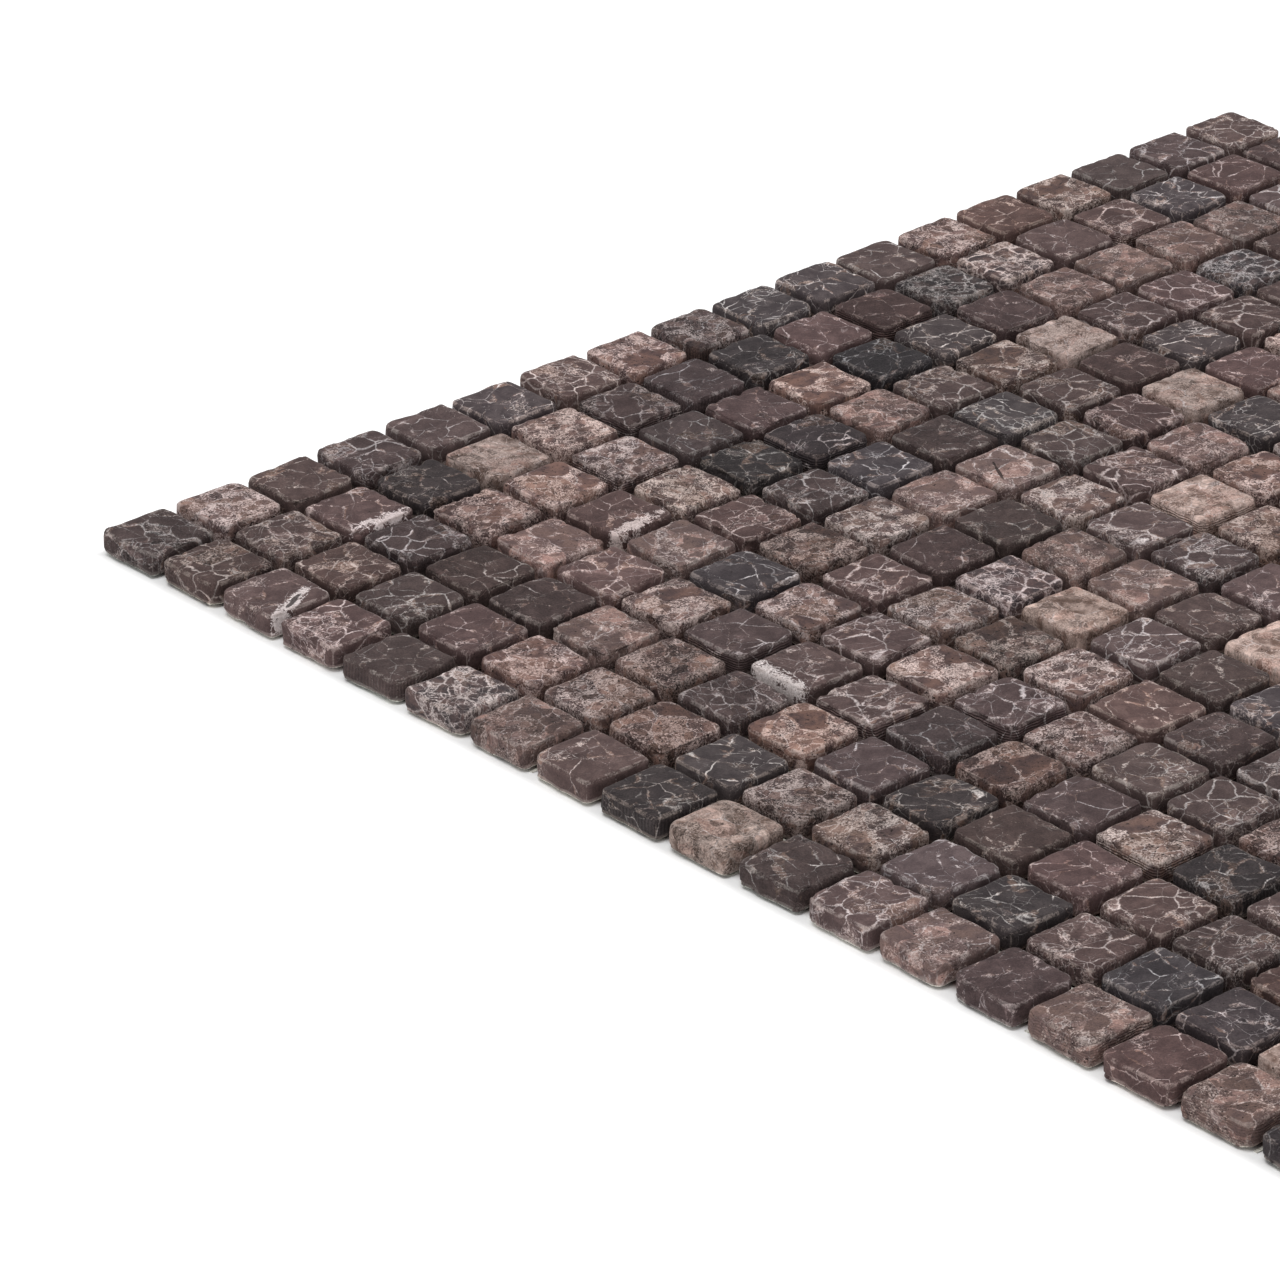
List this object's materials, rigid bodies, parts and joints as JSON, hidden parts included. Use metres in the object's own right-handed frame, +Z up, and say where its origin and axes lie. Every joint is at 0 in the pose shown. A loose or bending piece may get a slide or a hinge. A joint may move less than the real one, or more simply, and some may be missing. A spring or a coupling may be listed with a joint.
{
  "type": "mosaic tile sheet",
  "caption": "Square sheet of tumbled dark brown marble mosaic chips on a glass fibre net, for tiling walls and floors.",
  "frame": {"origin": "middle of the sheet, on the back of the net, which is the surface that the sheet lies on", "axes": "+Z up, out of the stones' faces; +X along the rows of stones and +Y across them"},
  "size_m": [0.3049, 0.3049, 0.0054],
  "materials": {
    "tumbled_marble": "matte",
    "glass_net": "matte"
  },
  "bodies": {
    "root": {"net_warp": "glass_net", "net_weft": "glass_net", "stone_row_01": "tumbled_marble", "stone_row_02": "tumbled_marble", "stone_row_03": "tumbled_marble", "stone_row_04": "tumbled_marble", "stone_row_05": "tumbled_marble", "stone_row_06": "tumbled_marble", "stone_row_07": "tumbled_marble", "stone_row_08": "tumbled_marble", "stone_row_09": "tumbled_marble", "stone_row_10": "tumbled_marble", "stone_row_11": "tumbled_marble", "stone_row_12": "tumbled_marble", "stone_row_13": "tumbled_marble", "stone_row_14": "tumbled_marble", "stone_row_15": "tumbled_marble", "stone_row_16": "tumbled_marble", "stone_row_17": "tumbled_marble", "stone_row_18": "tumbled_marble"}
  },
  "joints": []
}
